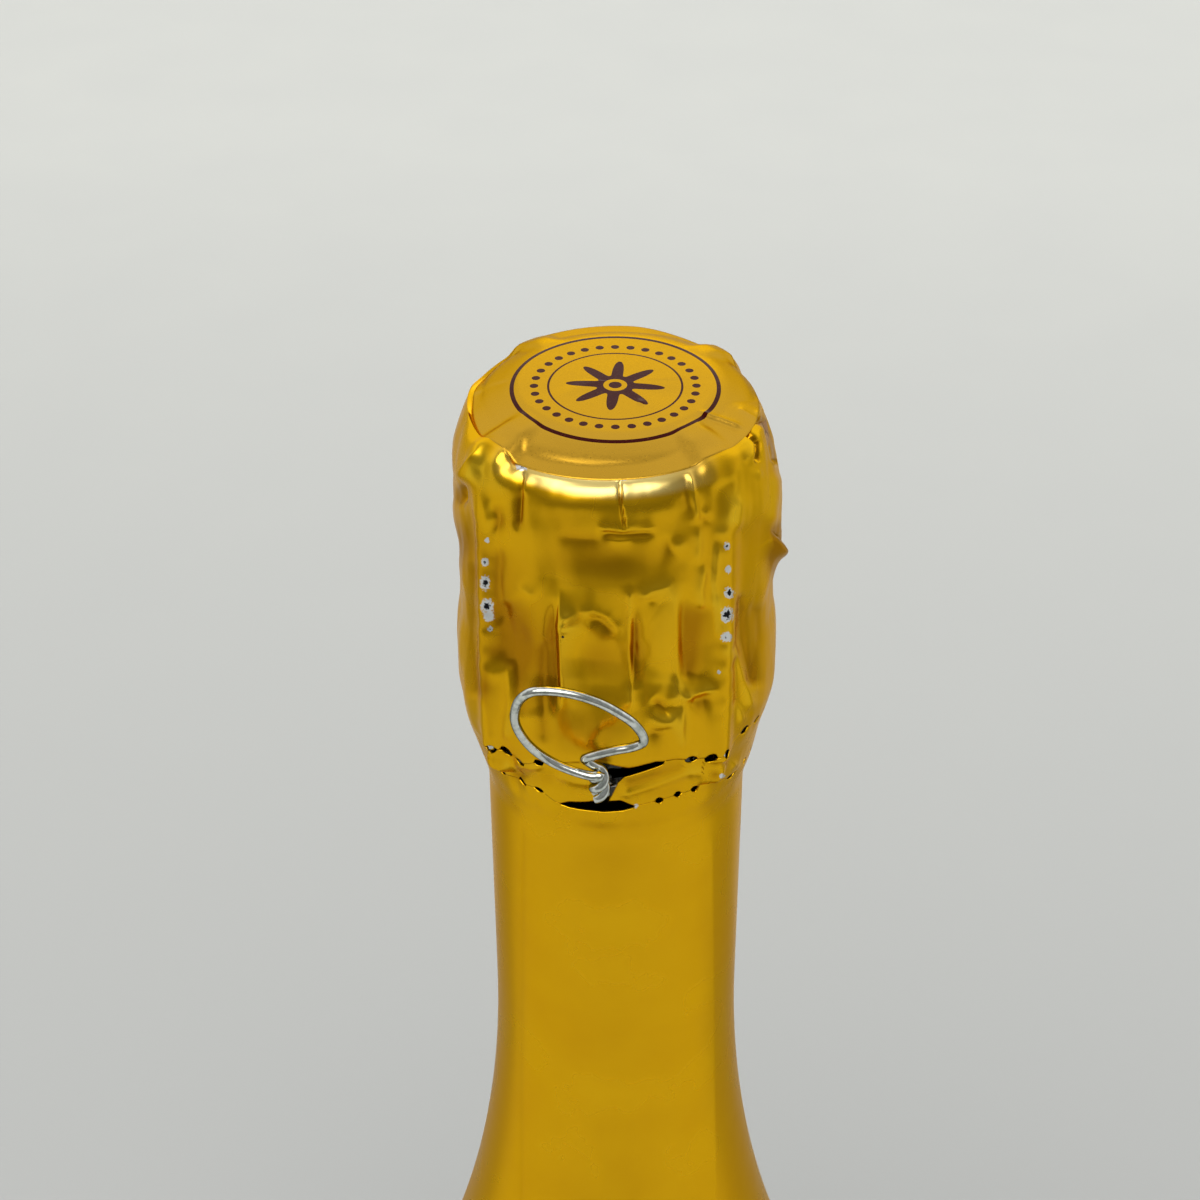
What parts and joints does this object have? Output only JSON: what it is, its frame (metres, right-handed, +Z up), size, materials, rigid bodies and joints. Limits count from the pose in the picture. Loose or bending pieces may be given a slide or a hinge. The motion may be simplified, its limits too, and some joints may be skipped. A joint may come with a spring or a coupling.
{
  "type": "champagne bottle",
  "caption": "Sparkling wine bottle with a gold foil capsule, mushroom cork and a twisted wire cage with a pull loop.",
  "frame": {"origin": "centre of the ring that the bottle stands on", "axes": "+Z up along the bottle's axis, -Y towards the wire pull loop"},
  "size_m": [0.089, 0.089, 0.3223],
  "materials": {
    "green_glass": "polished dark green bottle glass",
    "wine": "clear pale gold liquid",
    "gold_foil": "satin gold lacquer",
    "disc_foil": "satin gold lacquer with a dark red printed ring",
    "agglomerated_cork": "matt cork granules",
    "natural_cork": "matt natural cork",
    "tinplate": "gold lacquered tinplate",
    "galvanised_wire": "bright galvanised"
  },
  "bodies": {
    "bottle": {"glass_bottle": "green_glass", "wine": "wine", "foil_neck_sleeve": "gold_foil", "foil_tear_band": "gold_foil"},
    "cork": {"cork_body": "agglomerated_cork", "cork_disc_upper": "natural_cork", "cork_disc_lower": "natural_cork"},
    "cage": {"cage_plaque": "tinplate", "cage_frame": "galvanised_wire", "cage_belt": "galvanised_wire"},
    "stem": {"twist_stem": "galvanised_wire"},
    "loop": {"pull_loop": "galvanised_wire"},
    "capsule": {"foil_cap": "gold_foil", "foil_top_disc": "disc_foil"}
  },
  "joints": [
    {"name": "cork_draw", "type": "slide", "parent": "bottle", "child": "cork", "axis": [0, 0, 1], "range_m": [0, 0.045]},
    {"name": "cage_lift", "type": "slide", "parent": "cork", "child": "cage", "axis": [0, 0, 1], "range_m": [0, 0.05], "deforming": ["cage_frame", "cage_belt"]},
    {"name": "capsule_lift", "type": "slide", "parent": "cage", "child": "capsule", "axis": [0, 0, 1], "range_m": [0, 0.05]},
    {"name": "loop_twist", "type": "hinge", "parent": "cage", "child": "stem", "pos_m": [0, -0.0155, 0.28337], "axis": [0, -1, 0], "range_deg": [0, 1080]},
    {"name": "loop_swing", "type": "hinge", "parent": "stem", "child": "loop", "pos_m": [0, -0.017, 0.28337], "axis": [1, 0, 0], "range_deg": [-3, 115]}
  ]
}
